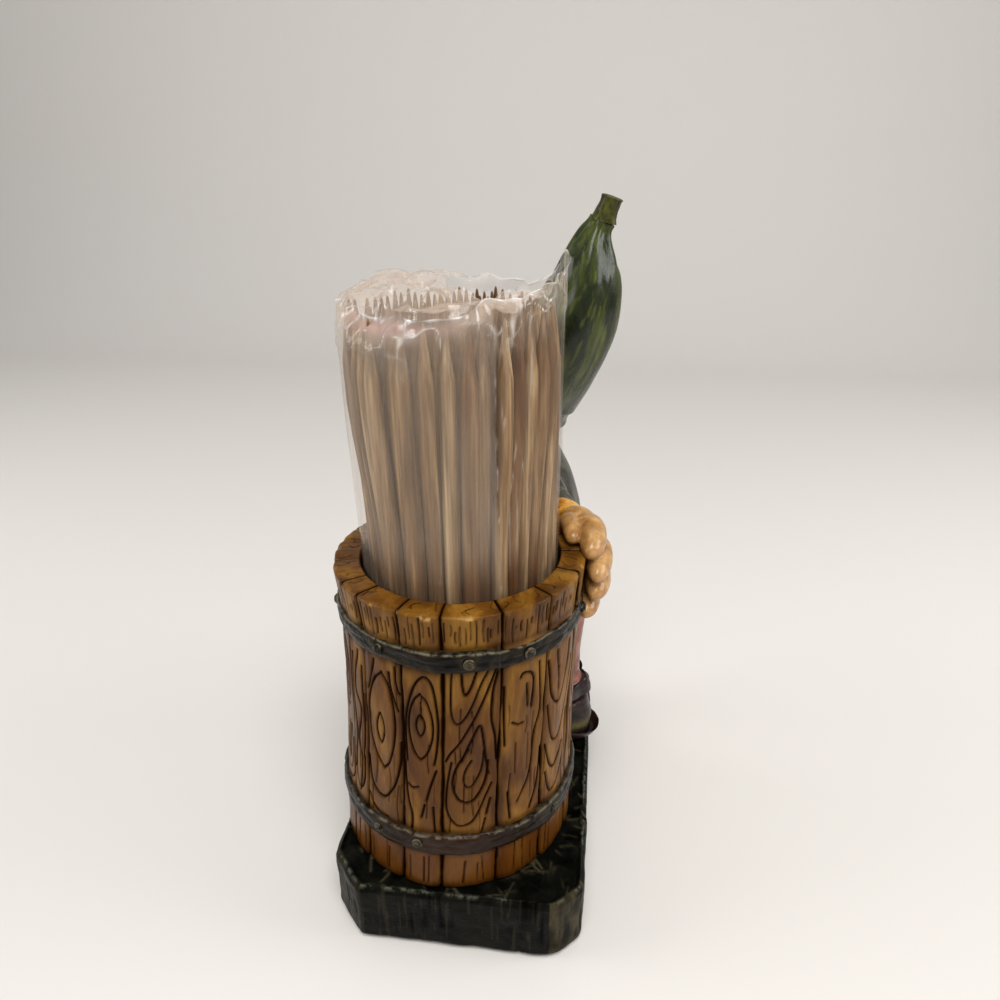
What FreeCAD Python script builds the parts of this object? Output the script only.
"""Toothpick barrel with a garden gnome figure, on one base slab. Sizes are in millimetres.

The origin is on the table, under the axis of the barrel. The figure stands behind the barrel,
at +Y, and faces -X. Azimuths are measured about the barrel's axis from -Y towards +X.
"""
import FreeCAD
import Part
import math
import os

V = FreeCAD.Vector
UP = V(0, 0, 1)

# Base slab
BASE_THICKNESS = 10.3
BASE_LEFT = 17.2
BASE_RIGHT = 18.7
BASE_FRONT = 19.2
BASE_BEHIND_FIGURE = 11.0
BASE_FRONT_LEFT_CUT = 5.6
BASE_FRONT_RIGHT_CUT = 3.8
BASE_BACK_CUT = 4.6
BASE_BEVEL = 0.5

# Barrel
BARREL_HEIGHT = 42.9
FILM_CLEARANCE = 0.35
WALL_AT_FOOT = 3.65
WALL_AT_WAIST = 2.9
WALL_AT_RIM = 3.4
WAIST_ABOVE_BASE = 19.7
RIM_ROUNDING = 0.5
FLOOR_THICKNESS = 9.7
# The hand-modelled outside leans away from the cavity's axis, towards -X and -Y at the foot.
LEAN_AT_FOOT = V(-1.3, -0.75, 0)
LEAN_AT_NECK = V(-0.1, 0, 0)
FRONT_SEAMS = (-53.0, -39.7, -17.4, 1.6, 27.3, 51.8, 76.0)
BACK_STAVES = 12
SEAM_DEPTH = 0.45
SEAM_HALF_WIDTH = 0.25

# Hoops and their rivets
UPPER_HOOP_HEIGHT = 2.6
UPPER_HOOP_BELOW_RIM = 5.0
UPPER_HOOP_THICKNESS = 0.55
LOWER_HOOP_HEIGHT = 3.1
LOWER_HOOP_ABOVE_BASE = 6.2
LOWER_HOOP_THICKNESS = 0.65
HOOP_EDGE = 0.25
HOOP_LAP_THICKNESS = 0.4
HOOP_LAP_START = -7.0
HOOP_LAP_ANGLE = 32.0
UPPER_RIVETS = (-27.5, 12.9, 39.5, 84.0, 150.0, 195.0, 240.0, 285.0)
LOWER_RIVETS = (-29.8, -9.3, 60.0, 110.0, 175.0, 220.0, 265.0)
RIVET_RADIUS = 0.75
RIVET_HEIGHT = 0.4

# Toothpicks and their film sleeve
TOOTHPICK_LENGTH = 64.9
TOOTHPICK_RADIUS = 1.05
TOOTHPICK_POINT = 6.5
TOOTHPICK_UNEVENNESS = 0.5
TOOTHPICK_PLAY = 0.02
FILM_RADIUS = 12.95
FILM_THICKNESS = 0.12
FILM_ABOVE_TIPS = 1.2
FILM_MOUTH_SLOPE_X = 0.10
FILM_MOUTH_SLOPE_Y = 0.08
FILM_SEAM_AZIMUTH = 100.0
FILM_SEAM_WIDTH = 2.4
FILM_SEAM_ABOVE_TIPS = 5.6
BUNDLE_FLOOR_GAP = 0.1
TOOTHPICK_FILM_GAP = 0.1

# Figure, from the top of the base slab upwards
FIGURE_STANDOFF = 9.05
LEFT_FOOT_REACH = 10.3
LEFT_FOOT_TURN = 1.9
RIGHT_FOOT_REACH = 5.0
RIGHT_FOOT_FORWARD = 3.2
BOOT_HEIGHT = 8.0
BOOT_CUFF_HEIGHT = 2.6
LEG_LENGTH = 17.6
NECK_ABOVE_RIM = 6.1
HEAD_LEAN = 3.0
HEAD_HEIGHT = 6.2
BRIM_TILT = 14.0
CAP_HEIGHT = 27.8
STEM_LENGTH = 3.0
FINGER_RADIUS = 1.75
FINGER_COUNT = 4
FINGER_PITCH = 3.05
THUMB_RADIUS = 1.3
HAND_CLEARANCE = 0.05
NOSE_RADIUS = 1.5
EAR_RADIUS = 1.9

# Facets round a form, and rings between two of its stations
FORM_SIDES = 16
FORM_STEPS = 2
FINGER_SIDES = 8
TOOTHPICK_SIDES = 8
SINGLE_TOOTHPICK_SIDES = 16
RIVET_SIDES = 6
HOOP_SIDES = 54
STAVE_FACETS = 3
FLATNESS = 1e-7

CAVITY_RADIUS = FILM_RADIUS + FILM_CLEARANCE
FOOT_RADIUS = CAVITY_RADIUS + WALL_AT_FOOT
WAIST_RADIUS = CAVITY_RADIUS + WALL_AT_WAIST
RIM_RADIUS = CAVITY_RADIUS + WALL_AT_RIM
RIM_Z = BASE_THICKNESS + BARREL_HEIGHT
FLOOR_Z = BASE_THICKNESS + FLOOR_THICKNESS
WAIST_Z = BASE_THICKNESS + WAIST_ABOVE_BASE
UPPER_HOOP_TOP = RIM_Z - UPPER_HOOP_BELOW_RIM
UPPER_HOOP_FOOT = UPPER_HOOP_TOP - UPPER_HOOP_HEIGHT
LOWER_HOOP_FOOT = BASE_THICKNESS + LOWER_HOOP_ABOVE_BASE
BARREL_LEVELS = (BASE_THICKNESS, WAIST_Z, UPPER_HOOP_FOOT, UPPER_HOOP_TOP, RIM_Z - RIM_ROUNDING,
                 RIM_Z)
FIGURE_Y = FOOT_RADIUS + FIGURE_STANDOFF
HEAD_Y = FIGURE_Y - HEAD_LEAN
BOOT_TOP = BASE_THICKNESS + BOOT_HEIGHT
LEG_FOOT = BOOT_TOP + BOOT_CUFF_HEIGHT
HEM_Z = LEG_FOOT + LEG_LENGTH
NECK_Z = RIM_Z + NECK_ABOVE_RIM
BRIM_Z = NECK_Z + HEAD_HEIGHT
CAP_END_Z = BRIM_Z + CAP_HEIGHT
BUNDLE_FOOT = FLOOR_Z + BUNDLE_FLOOR_GAP
TIPS_Z = BUNDLE_FOOT + FILM_THICKNESS + TOOTHPICK_FILM_GAP + TOOTHPICK_LENGTH
BRIM_NORMAL = V(math.sin(math.radians(BRIM_TILT)), 0, math.cos(math.radians(BRIM_TILT)))

# Stations of the modelled forms: place along the form, centre, then half widths.
# Boots, legs, coat and head: share of the height, centre x, shift in y, half depth, half width.
# A leg's shift is towards the other leg, and is the right leg's: the left one turns further.
BOOT_FORM = (
    (0.0, 12.0, 0.0, 7.2, 3.9),
    (0.15, 12.0, 0.0, 7.6, 4.3),
    (0.45, 12.2, 0.0, 7.4, 4.4),
    (0.7, 13.2, 0.0, 5.8, 4.2),
    (1.0, 13.4, 0.0, 4.6, 4.1),
)
BOOT_CUFF_FORM = (
    (0.0, 13.4, 0.0, 4.8, 4.3),
    (0.6, 13.3, 0.0, 5.4, 4.9),
    (1.0, 13.0, 0.0, 4.7, 4.6),
)
LEG_FORM = (
    (0.0, 12.6, 0.0, 4.3, 4.2),
    (0.35, 12.1, 0.5, 4.8, 4.6),
    (0.75, 11.9, 1.2, 5.0, 4.7),
    (1.0, 10.8, 1.75, 4.9, 4.3),
)
COAT_FORM = (
    (0.0, 7.7, -1.0, 8.4, 10.2),
    (0.14, 7.5, -0.9, 8.6, 9.9),
    (0.42, 7.2, -0.4, 8.7, 8.9),
    (0.71, 7.0, -0.2, 7.4, 8.6),
    (0.91, 6.4, -1.0, 5.4, 7.4),
    (1.0, 5.4, -2.2, 3.6, 4.6),
)
HEAD_FORM = (
    (0.0, 5.2, 0.0, 3.5, 4.3),
    (0.25, 4.6, 0.0, 5.9, 5.9),
    (0.62, 4.5, 0.0, 7.3, 7.1),
)
BRIM_CENTRE_X = 4.6
BRIM_HALF = 7.7
BRIM_OVERHANG = 0.7

# Cap and stem: share of the height, centre x, shift in y, half width.
CAP_FORM = (
    (0.14, 6.2, -0.4, 8.4),
    (0.31, 10.0, -1.0, 7.7),
    (0.49, 12.9, -1.5, 6.8),
    (0.67, 14.9, -1.8, 5.3),
    (0.81, 15.7, -2.0, 3.7),
    (0.92, 16.1, -2.0, 2.4),
    (1.0, 16.9, -2.0, 2.1),
)
STEM_FORM = (
    (0.0, 16.9, -2.0, 1.9),
    (0.6, 17.6, -2.0, 1.45),
    (1.0, 18.0, -2.0, 1.65),
)

# Beard: share of the way down, centre x, shift in y, half depth, half width.
BEARD_DROP = 11.0
BEARD_FORM = (
    (0.0, -1.2, 0.0, 2.6, 5.4),
    (0.3, -2.2, 0.2, 3.0, 5.5),
    (0.7, -2.4, 0.6, 2.4, 4.2),
    (1.0, -1.8, 0.9, 1.1, 1.8),
)

# Arms: x from the rim's edge, shift in y from the figure, height above the rim, radius.
LEFT_SLEEVE = (
    (-10.2, -5.5, 0.6, 4.4),
    (-7.7, -8.0, 0.6, 4.2),
    (-5.8, -11.0, -0.5, 3.8),
    (-4.4, -13.2, -1.0, 3.4),
)
LEFT_WRIST = (-3.3, -15.6, -1.4, 2.9)
RIGHT_SLEEVE = (
    (-10.2, 5.2, 0.4, 4.4),
    (-8.3, 8.2, -2.9, 4.2),
    (-9.3, 9.9, -6.6, 4.0),
    (-13.3, 9.6, -8.9, 3.8),
    (-16.1, 8.3, -9.2, 3.6),
)
RIGHT_WRIST = (-17.7, 6.9, -9.2, 3.0)
CUFF_PROUD = 0.35


def polar(radius, azimuth, z):
    """Point at an azimuth about the barrel's axis, from -Y towards +X."""
    angle = math.radians(azimuth)
    return V(radius * math.sin(angle), -radius * math.cos(angle), z)


def outside(radius, azimuth, z):
    """Point at a radius about the middle of the barrel's outer surface at a height."""
    return polar(radius, azimuth, z) + barrel_lean(z)


def ring(centre, normal, half_wide, half_deep, wide, sides):
    """Points of a polygon round a point, square to the normal, its first half width along wide."""
    first = wide - normal * wide.dot(normal)
    first.normalize()
    second = normal.cross(first)
    points = []
    for index in range(sides):
        angle = 2 * math.pi * (index + 0.5) / sides
        points.append(centre + first * (half_wide * math.cos(angle))
                      + second * (half_deep * math.sin(angle)))
    return points


def closed(points):
    """Closed wire through points."""
    return Part.makePolygon(points + points[:1])


def is_flat(a, b, c, d):
    """Whether four corners lie in one plane."""
    normal = (b - a).cross(c - a)
    return abs((d - a).dot(normal)) < FLATNESS * normal.Length


def folded(a, b, c, d):
    """Two triangles over four corners, folded the same way when two forms share them."""
    if a.Length < b.Length:
        return [[a, b, c], [a, c, d]]
    return [[a, b, d], [b, c, d]]


def ruled(rings):
    """Solid through rings of points: a side that isn't flat gets a fold across it."""
    faces = [Part.Face(closed(rings[0])), Part.Face(closed(rings[-1]))]
    for low, high in zip(rings, rings[1:]):
        for index, corner in enumerate(low):
            after = (index + 1) % len(low)
            side = [corner, low[after], high[after], high[index]]
            parts = [side] if is_flat(*side) else folded(*side)
            faces += [Part.Face(closed(points)) for points in parts]
    solid = Part.Solid(Part.makeShell(faces))
    if solid.Volume < 0:
        solid.reverse()
    return solid


def eased(stations, steps=FORM_STEPS):
    """Stations with a smooth curve's own stations added between them."""
    smooth = []
    last = len(stations) - 1
    for index in range(last):
        near = [stations[min(max(index + step, 0), last)] for step in (-1, 0, 1, 2)]
        for step in range(steps):
            t = step / steps
            smooth.append(tuple(
                0.5 * (2 * b + (c - a) * t + (2 * a - 5 * b + 4 * c - d) * t ** 2
                       + (3 * b - a - 3 * c + d) * t ** 3)
                for a, b, c, d in zip(*near)))
    return smooth + [stations[last]]


def stack(form, foot, height, centre_y, inward=1, foot_x=0.0, top_x=0.0):
    """Level rings of an upright form, from its table of shares of the height."""
    rings = []
    for share, x, shift, half_deep, half_wide in eased(form):
        moved_x = x + foot_x + share * (top_x - foot_x)
        centre = V(moved_x, centre_y + inward * shift, foot + share * height)
        rings.append(ring(centre, UP, half_deep, half_wide, V(1, 0, 0), FORM_SIDES))
    return rings


def limb(centres, halves, wide=UP, sides=FORM_SIDES, first_normal=None):
    """Solid along a curved path of centres, with each ring square to the path."""
    stations = eased([(c.x, c.y, c.z) + tuple(h) for c, h in zip(centres, halves)])
    centres = [V(*station[:3]) for station in stations]
    halves = [station[3:] for station in stations]
    rings = []
    last = len(centres) - 1
    for index, centre in enumerate(centres):
        normal = centres[min(index + 1, last)] - centres[max(index - 1, 0)]
        if index == 0 and first_normal:
            normal = V(first_normal)
        normal.normalize()
        half_wide, half_deep = halves[index]
        rings.append(ring(centre, normal, half_wide, half_deep, wide, sides))
    return ruled(rings)


def seated(shape, *neighbours):
    """The shape with its neighbours cut away, so that they meet face to face."""
    for neighbour in neighbours:
        shape = shape.cut(neighbour)
    return max(shape.Solids, key=lambda solid: solid.Volume)


def joined(shapes):
    """One solid of overlapping shapes."""
    whole = shapes[0].multiFuse(shapes[1:]).removeSplitter()
    return max(whole.Solids, key=lambda solid: solid.Volume)


def revolved(profile, start=0.0, sweep=360.0):
    """Solid of revolution of a profile of (radius, z) about the barrel's axis."""
    points = [polar(radius, start, z) for radius, z in profile]
    return Part.Face(closed(points)).revolve(V(0, 0, 0), UP, sweep)


def between(levels, z):
    """Value at a height, from a rising table of (height, value)."""
    for (low_z, low), (high_z, high) in zip(levels, levels[1:]):
        if z <= high_z:
            return low + (high - low) * (z - low_z) / (high_z - low_z)
    return levels[-1][1]


def barrel_radius(z):
    """Outer radius of the staves at a height."""
    hooped = WAIST_RADIUS + 0.2 * (RIM_RADIUS - WAIST_RADIUS)
    return between(((BASE_THICKNESS, FOOT_RADIUS), (WAIST_Z, WAIST_RADIUS),
                    (UPPER_HOOP_FOOT, WAIST_RADIUS), (UPPER_HOOP_TOP, hooped),
                    (RIM_Z - RIM_ROUNDING, RIM_RADIUS), (RIM_Z, RIM_RADIUS - RIM_ROUNDING)), z)


def barrel_lean(z):
    """Middle of the outer surface at a height, from the cavity's axis."""
    return between(((BASE_THICKNESS, LEAN_AT_FOOT), (UPPER_HOOP_FOOT, LEAN_AT_NECK)), z)


def make_base():
    """Slab with its corners cut off and a bevelled top edge."""
    back = FIGURE_Y + BASE_BEHIND_FIGURE
    outline = [
        (-BASE_LEFT + BASE_FRONT_LEFT_CUT, -BASE_FRONT),
        (BASE_RIGHT - BASE_FRONT_RIGHT_CUT, -BASE_FRONT),
        (BASE_RIGHT, -BASE_FRONT + BASE_FRONT_RIGHT_CUT),
        (BASE_RIGHT, back - BASE_BACK_CUT),
        (BASE_RIGHT - BASE_BACK_CUT, back),
        (-BASE_LEFT + BASE_BACK_CUT, back),
        (-BASE_LEFT, back - BASE_BACK_CUT),
        (-BASE_LEFT, -BASE_FRONT + BASE_FRONT_LEFT_CUT),
    ]
    slab = Part.Face(closed([V(x, y, 0) for x, y in outline])).extrude(UP * BASE_THICKNESS)
    top_edges = [edge for edge in slab.Edges
                 if all(vertex.Z > BASE_THICKNESS / 2 for vertex in edge.Vertexes)]
    return slab.makeChamfer(BASE_BEVEL, top_edges)


def seams():
    """Azimuths of all seams: the measured ones in front, even ones round the back."""
    first, last = FRONT_SEAMS[0] + 360.0, FRONT_SEAMS[-1]
    step = (first - last) / BACK_STAVES
    return list(FRONT_SEAMS) + [last + step * number for number in range(1, BACK_STAVES + 1)]


def stave_section(start, end, z):
    """Section of one stave between two seams at a height, with its outer corners eased."""
    outer = barrel_radius(z)
    ease = math.degrees(SEAM_HALF_WIDTH / RIM_RADIUS)
    seam = outer - SEAM_DEPTH
    facet = (end - start - 2 * ease) / STAVE_FACETS
    points = [outside(outer, start + ease + facet * number, z)
              for number in range(STAVE_FACETS + 1)]
    points += [outside(seam, end, z), polar(CAVITY_RADIUS, end, z)]
    points += [polar(CAVITY_RADIUS, (start + end) / 2, z)]
    points += [polar(CAVITY_RADIUS, start, z), outside(seam, start, z)]
    return points


def make_staves():
    """Staves between the seams, from the base to the rim."""
    return [ruled([stave_section(start, end, z) for z in BARREL_LEVELS])
            for start, end in zip(seams(), seams()[1:])]


def make_floor():
    """Floor of the cavity, with the same corners as the staves that it fills."""
    corners = []
    for start, end in zip(seams(), seams()[1:]):
        corners += [polar(CAVITY_RADIUS, start, 0), polar(CAVITY_RADIUS, (start + end) / 2, 0)]
    disc = Part.Face(closed(corners))
    disc.translate(UP * BASE_THICKNESS)
    return disc.extrude(UP * (FLOOR_Z - BASE_THICKNESS))


def hoop_ring(radius, z):
    """Points round the barrel's outer surface at a height."""
    return [outside(radius, 360.0 * number / HOOP_SIDES, z) for number in range(HOOP_SIDES)]


def make_hoop(foot, height, thickness):
    """Band round the staves, with eased edges. Its inner flats just clear the staves' corners."""
    top = foot + height
    crown = max(barrel_radius(foot), barrel_radius(top)) + thickness
    band = ruled([hoop_ring(crown - HOOP_EDGE, foot), hoop_ring(crown, foot + HOOP_EDGE),
                  hoop_ring(crown, top - HOOP_EDGE), hoop_ring(crown - HOOP_EDGE, top)])
    return seated(band, barrel_envelope()), crown


def make_hoop_lap(foot, height, crown):
    """Free end of the upper hoop's strip, lapped over the hoop."""
    low, high = foot + HOOP_EDGE, foot + height - HOOP_EDGE
    facet = 360.0 / HOOP_SIDES
    first = round(HOOP_LAP_START / facet)
    azimuths = [facet * (first + number) for number in range(round(HOOP_LAP_ANGLE / facet) + 1)]
    sections = []
    for z in (low, high):
        outer = [outside(crown + HOOP_LAP_THICKNESS, azimuth, z) for azimuth in azimuths]
        inner = [outside(crown - HOOP_EDGE, azimuth, z) for azimuth in reversed(azimuths)]
        sections.append(outer + inner)
    return ruled(sections)


def make_rivets(azimuths, z, crown, hoop):
    """Low rivet heads on a hoop."""
    heads = []
    for azimuth in azimuths:
        outward = polar(1.0, azimuth, 0)
        lapped = HOOP_LAP_START < azimuth < HOOP_LAP_START + HOOP_LAP_ANGLE and z > RIM_Z / 2
        seat = crown + (HOOP_LAP_THICKNESS if lapped else 0.0)
        foot = ring(outside(seat - HOOP_EDGE, azimuth, z), outward, RIVET_RADIUS, RIVET_RADIUS,
                    UP, RIVET_SIDES)
        head = ring(outside(seat + RIVET_HEIGHT, azimuth, z), outward, RIVET_RADIUS / 2,
                    RIVET_RADIUS / 2, UP, RIVET_SIDES)
        heads.append(seated(ruled([foot, head]), hoop))
    return heads


def make_film():
    """Film sleeve: a thin closed-bottomed tube with a sloping mouth and a flat seam strip."""
    tall = TIPS_Z + FILM_SEAM_ABOVE_TIPS - BUNDLE_FOOT
    outside = Part.makeCylinder(FILM_RADIUS, tall, V(0, 0, BUNDLE_FOOT))
    inner_radius = FILM_RADIUS - FILM_THICKNESS
    inside = Part.makeCylinder(inner_radius, tall, V(0, 0, BUNDLE_FOOT + FILM_THICKNESS))
    reach = 2 * FILM_RADIUS
    mouth = [V(x, y, TIPS_Z + FILM_ABOVE_TIPS + x * FILM_MOUTH_SLOPE_X + y * FILM_MOUTH_SLOPE_Y)
             for x, y in ((-reach, -reach), (reach, -reach), (reach, reach), (-reach, reach))]
    above = Part.Face(closed(mouth)).extrude(UP * 2 * reach)
    tube = outside.cut(above).cut(inside)
    sweep = math.degrees(FILM_SEAM_WIDTH / FILM_RADIUS)
    seam = revolved([(inner_radius, BUNDLE_FOOT + FILM_THICKNESS),
                     (FILM_RADIUS + FILM_THICKNESS, BUNDLE_FOOT + FILM_THICKNESS),
                     (FILM_RADIUS + FILM_THICKNESS, BUNDLE_FOOT + tall),
                     (inner_radius, BUNDLE_FOOT + tall)],
                    FILM_SEAM_AZIMUTH - sweep / 2, sweep)
    return joined([tube, seam])


def make_toothpick(x, y, lift, sides=TOOTHPICK_SIDES):
    """Round stick with a point at each end."""
    foot = TIPS_Z - TOOTHPICK_LENGTH + lift
    top = foot + TOOTHPICK_LENGTH
    rings = [ring(V(x, y, z), UP, TOOTHPICK_RADIUS, TOOTHPICK_RADIUS, V(1, 0, 0), sides)
             for z in (foot + TOOTHPICK_POINT, top - TOOTHPICK_POINT)]
    ends = [Part.Vertex(V(x, y, foot)), Part.Vertex(V(x, y, top))]
    return Part.makeLoft([ends[0]] + [closed(points) for points in rings] + [ends[1]], True, True)


def make_toothpick_rows():
    """Close-packed rows of toothpicks across the sleeve, and the one at the end of the middle row."""
    pitch = 2 * TOOTHPICK_RADIUS + TOOTHPICK_PLAY
    row_pitch = pitch * math.sin(math.radians(60))
    reach = FILM_RADIUS - FILM_THICKNESS - TOOTHPICK_FILM_GAP - TOOTHPICK_RADIUS
    side_rows = int(reach / row_pitch)
    rows = []
    single = None
    golden = (math.sqrt(5) - 1) / 2
    count = 0
    for row in range(-side_rows, side_rows + 1):
        y = row * row_pitch
        half = math.sqrt(reach * reach - y * y)
        shift = 0.0 if row % 2 else pitch / 2
        places = int((half - shift) / pitch)
        xs = [shift + step * pitch for step in range(places + 1)]
        xs = sorted(set([-x for x in xs] + xs))
        sticks = []
        for x in xs:
            count += 1
            lift = TOOTHPICK_UNEVENNESS * (count * golden % 1.0)
            if row == 0 and x == xs[-1]:
                single = make_toothpick(x, y, lift, SINGLE_TOOTHPICK_SIDES)
            else:
                sticks.append(make_toothpick(x, y, lift))
        rows.append(sticks)
    return rows, single


def make_ball(centre, radius, sides=FINGER_SIDES):
    """Small round form."""
    rings = []
    for share in (-0.92, -0.5, 0.0, 0.5, 0.92):
        half = radius * math.sqrt(1 - share * share)
        rings.append(ring(centre + UP * (share * radius), UP, half, half, V(1, 0, 0), sides))
    return ruled(rings)


def make_head():
    """Head up to the plane of the cap's brim, with its nose and ears."""
    rings = stack(HEAD_FORM, NECK_Z, HEAD_HEIGHT, HEAD_Y)
    brim = V(BRIM_CENTRE_X, HEAD_Y, BRIM_Z)
    rings.append(ring(brim, BRIM_NORMAL, BRIM_HALF, BRIM_HALF, V(1, 0, 0), FORM_SIDES))
    level = NECK_Z + HEAD_HEIGHT / 2
    face_x = BRIM_CENTRE_X - BRIM_HALF
    nose = make_ball(V(face_x, HEAD_Y, level + 0.6), NOSE_RADIUS)
    ears = [make_ball(V(BRIM_CENTRE_X + 0.6, HEAD_Y + side * (BRIM_HALF - 0.9), level), EAR_RADIUS)
            for side in (-1, 1)]
    return joined([ruled(rings), nose] + ears)


def make_cap():
    """Pepper-shaped cap, from its brim to the root of the stem, curving back over the heels."""
    half = BRIM_HALF + BRIM_OVERHANG
    centres = [V(BRIM_CENTRE_X, HEAD_Y, BRIM_Z)]
    halves = [(half, half)]
    for share, x, shift, radius in CAP_FORM:
        centres.append(V(x, HEAD_Y + shift, BRIM_Z + share * CAP_HEIGHT))
        halves.append((radius, radius))
    return limb(centres, halves, V(1, 0, 0), FORM_SIDES, BRIM_NORMAL)


def make_stem(cap):
    """Stem of the pepper, flared at its cut end."""
    centres = [V(x, HEAD_Y + shift, CAP_END_Z + share * STEM_LENGTH)
               for share, x, shift, radius in STEM_FORM]
    halves = [(radius, radius) for share, x, shift, radius in STEM_FORM]
    return seated(limb(centres, halves, V(1, 0, 0), FINGER_SIDES), cap)


def make_beard(*neighbours):
    """Short full beard, seated on the face and the chest."""
    top = NECK_Z + HEAD_HEIGHT / 2 - NOSE_RADIUS / 2
    rings = []
    for share, x, shift, half_deep, half_wide in reversed(eased(BEARD_FORM)):
        centre = V(x, HEAD_Y + shift, top - share * BEARD_DROP)
        rings.append(ring(centre, UP, half_deep, half_wide, V(1, 0, 0), FORM_SIDES))
    return seated(ruled(rings), *neighbours)


def arm_points(table):
    """Centres and radii of an arm's stations, which follow the rim that the hand holds."""
    centres = [V(RIM_RADIUS + x, FIGURE_Y + shift, RIM_Z + rise)
               for x, shift, rise, radius in table]
    halves = [(radius, radius) for x, shift, rise, radius in table]
    return centres, halves


def make_cuff(sleeve_end, wrist):
    """Turned-back shirt cuff between a sleeve's end and the wrist."""
    centres, halves = arm_points((sleeve_end, wrist))
    radius = sleeve_end[3] + CUFF_PROUD
    return limb(centres, [(radius, radius), (radius, radius)])


def make_left_hand(barrel, cuff):
    """Hand that holds the rim: fingers down the outside and the thumb along its top."""
    wrist = arm_points((LEFT_WRIST,))[0][0]
    grip = RIM_RADIUS + FINGER_RADIUS + HAND_CLEARANCE
    knuckle_z = RIM_Z - 3.6
    palm = limb(
        [wrist, V(wrist.x + 1.8, wrist.y - 1.2, RIM_Z - 1.4),
         outside(grip - 0.1, 114.0, knuckle_z + 0.6), outside(grip, 108.0, knuckle_z)],
        [(2.9, 2.4), (4.6, 2.3), (5.7, 2.0), (6.0, 1.7)])
    fingers = []
    for index in range(FINGER_COUNT):
        z = RIM_Z + 0.9 - index * FINGER_PITCH
        reach = 96.0 - 2.0 * (index % 2)
        centres = [outside(grip, 114.0, z), outside(grip + 0.15, 106.0, z),
                   outside(grip, 100.0, z - 0.1), outside(grip - 0.3, reach - 4.0, z - 0.3)]
        halves = [(FINGER_RADIUS, FINGER_RADIUS), (FINGER_RADIUS * 1.04, FINGER_RADIUS),
                  (FINGER_RADIUS, FINGER_RADIUS * 0.95), (FINGER_RADIUS * 0.7, FINGER_RADIUS * 0.6)]
        fingers.append(limb(centres, halves, UP, FINGER_SIDES))
    thumb_z = RIM_Z + THUMB_RADIUS + HAND_CLEARANCE
    along = (CAVITY_RADIUS + RIM_RADIUS) / 2
    thumb = limb(
        [wrist + V(1.1, -0.6, 0.6), outside(along + 0.8, 116.0, thumb_z + 0.1),
         outside(along + 0.3, 105.0, thumb_z), outside(along, 96.0, thumb_z - 0.3)],
        [(THUMB_RADIUS * 1.2, THUMB_RADIUS * 1.2), (THUMB_RADIUS, THUMB_RADIUS),
         (THUMB_RADIUS, THUMB_RADIUS), (THUMB_RADIUS * 0.6, THUMB_RADIUS * 0.7)],
        UP, FINGER_SIDES)
    return seated(joined([palm, thumb] + fingers), barrel, cuff)


def make_right_hand(cuff, coat):
    """Hand that rests on the coat."""
    wrist = arm_points((RIGHT_WRIST,))[0][0]
    knuckles = wrist + V(-2.6, -3.0, 0.2)
    palm = limb([wrist, wrist + V(-1.6, -1.4, 0.0), knuckles],
                [(2.6, 2.0), (3.2, 2.0), (3.3, 1.6)])
    fingers = []
    for index in range(FINGER_COUNT):
        z = knuckles.z + (1.5 - index) * FINGER_RADIUS
        foot = V(knuckles.x + 0.4, knuckles.y + 0.4, z)
        tip = foot + V(0.9, -4.2, -0.3)
        middle = foot + V(-0.3, -2.0, 0.0)
        fingers.append(limb([foot, middle, tip], [(0.85, 1.1), (0.9, 1.1), (0.6, 0.7)],
                            UP, FINGER_SIDES))
    return seated(joined([palm] + fingers), cuff, coat)


def barrel_envelope():
    """Everything inside the barrel's outer surface, whose flats clear the staves' corners."""
    flat = 1 / math.cos(math.pi / HOOP_SIDES)
    return ruled([hoop_ring(barrel_radius(z) * flat, z) for z in BARREL_LEVELS])


def export(name, solids):
    """Write one node, alone or as a group of separate solids."""
    shape = solids[0] if len(solids) == 1 else Part.Compound(solids)
    if not shape.isValid():
        print("invalid solid in", name)
    shape.exportStep("parts/" + name + ".step")
    print(name, len(solids), round(sum(solid.Volume for solid in solids), 2))


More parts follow.
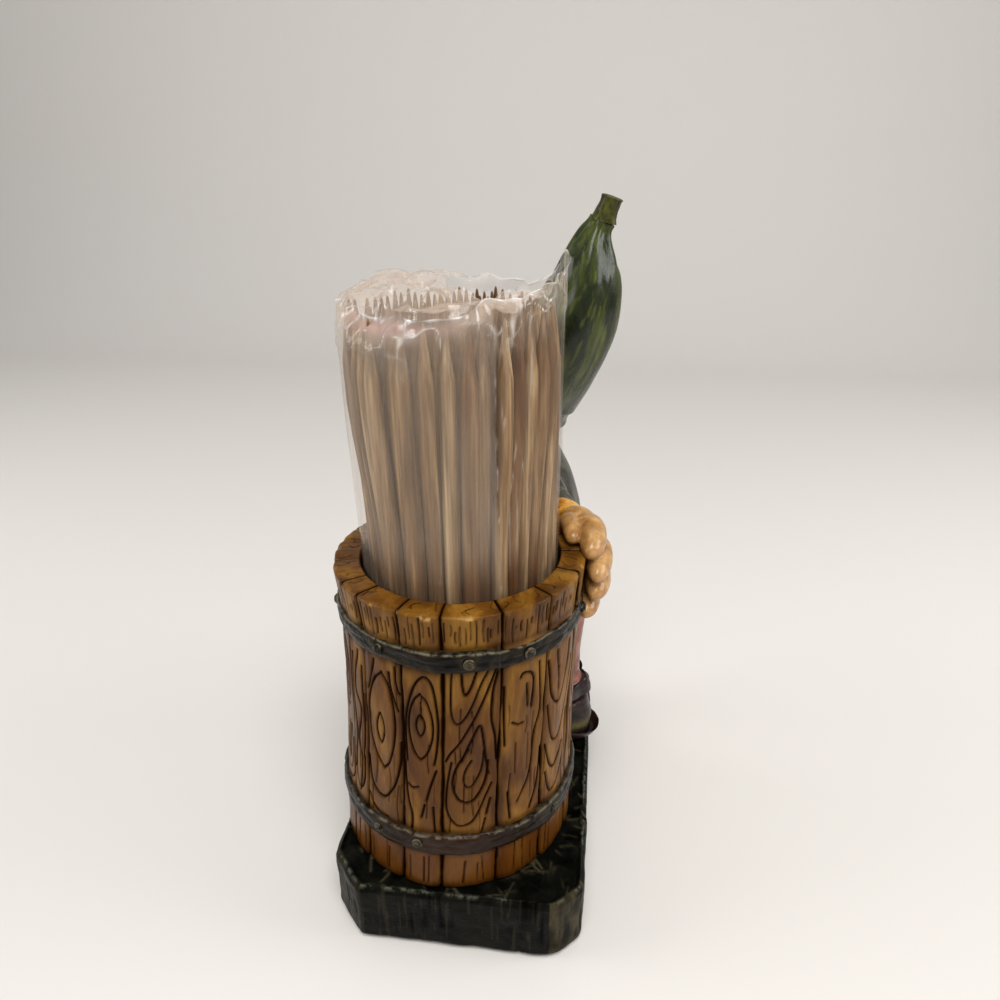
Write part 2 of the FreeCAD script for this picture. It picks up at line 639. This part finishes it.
def main():
    os.makedirs("parts", exist_ok=True)
    export("base_slab", [make_base()])
    for number, stave in enumerate(make_staves(), start=1):
        export("stave_%02d" % number, [stave])
    export("barrel_floor", [make_floor()])

    upper_hoop, upper_crown = make_hoop(UPPER_HOOP_FOOT, UPPER_HOOP_HEIGHT, UPPER_HOOP_THICKNESS)
    lap = make_hoop_lap(UPPER_HOOP_FOOT, UPPER_HOOP_HEIGHT, upper_crown)
    upper_hoop = joined([upper_hoop, lap])
    lower_hoop, lower_crown = make_hoop(LOWER_HOOP_FOOT, LOWER_HOOP_HEIGHT, LOWER_HOOP_THICKNESS)
    export("upper_hoop", [upper_hoop])
    export("lower_hoop", [lower_hoop])
    rivets = make_rivets(UPPER_RIVETS, UPPER_HOOP_FOOT + UPPER_HOOP_HEIGHT / 2, upper_crown,
                         upper_hoop)
    rivets += make_rivets(LOWER_RIVETS, LOWER_HOOP_FOOT + LOWER_HOOP_HEIGHT / 2, lower_crown,
                          lower_hoop)
    export("hoop_rivets", rivets)

    export("film_sleeve", [make_film()])
    rows, single = make_toothpick_rows()
    for number, sticks in enumerate(rows, start=1):
        export("toothpick_row_%02d" % number, sticks)
    export("single_toothpick", [single])

    barrel = joined([barrel_envelope(), upper_hoop, lower_hoop])
    feet = (("left", FIGURE_Y - LEFT_FOOT_REACH, LEFT_FOOT_TURN, 0.0),
            ("right", FIGURE_Y + RIGHT_FOOT_REACH, -1.0, -RIGHT_FOOT_FORWARD))
    for side, centre_y, inward, at_x in feet:
        boot = ruled(stack(BOOT_FORM, BASE_THICKNESS, BOOT_HEIGHT, centre_y, 1, at_x, at_x))
        cuff = ruled(stack(BOOT_CUFF_FORM, BOOT_TOP, BOOT_CUFF_HEIGHT, centre_y, 1, at_x, at_x))
        leg = ruled(stack(LEG_FORM, LEG_FOOT, LEG_LENGTH, centre_y, inward, at_x))
        export("boot_" + side, [seated(boot, barrel)])
        export("boot_cuff_" + side, [seated(cuff, barrel)])
        export("trouser_" + side, [seated(leg, barrel)])

    coat = seated(ruled(stack(COAT_FORM, HEM_Z, NECK_Z - HEM_Z, FIGURE_Y)), barrel)
    head = seated(make_head(), coat)
    cap = make_cap()
    head = seated(head, cap)
    export("coat", [coat])
    export("head", [head])
    export("beard", [make_beard(head, coat)])
    export("pepper_cap", [cap])
    export("cap_stem", [make_stem(cap)])

    left_cuff = seated(make_cuff(LEFT_SLEEVE[-1], LEFT_WRIST), barrel)
    left_sleeve = seated(limb(*arm_points(LEFT_SLEEVE)), coat, barrel, left_cuff, head, cap)
    export("sleeve_left", [left_sleeve])
    export("shirt_cuff_left", [left_cuff])
    export("hand_left", [make_left_hand(barrel, left_cuff)])
    right_cuff = seated(make_cuff(RIGHT_SLEEVE[-1], RIGHT_WRIST), coat)
    right_sleeve = seated(limb(*arm_points(RIGHT_SLEEVE)), coat, right_cuff)
    export("sleeve_right", [right_sleeve])
    export("shirt_cuff_right", [right_cuff])
    export("hand_right", [make_right_hand(right_cuff, coat)])


main()
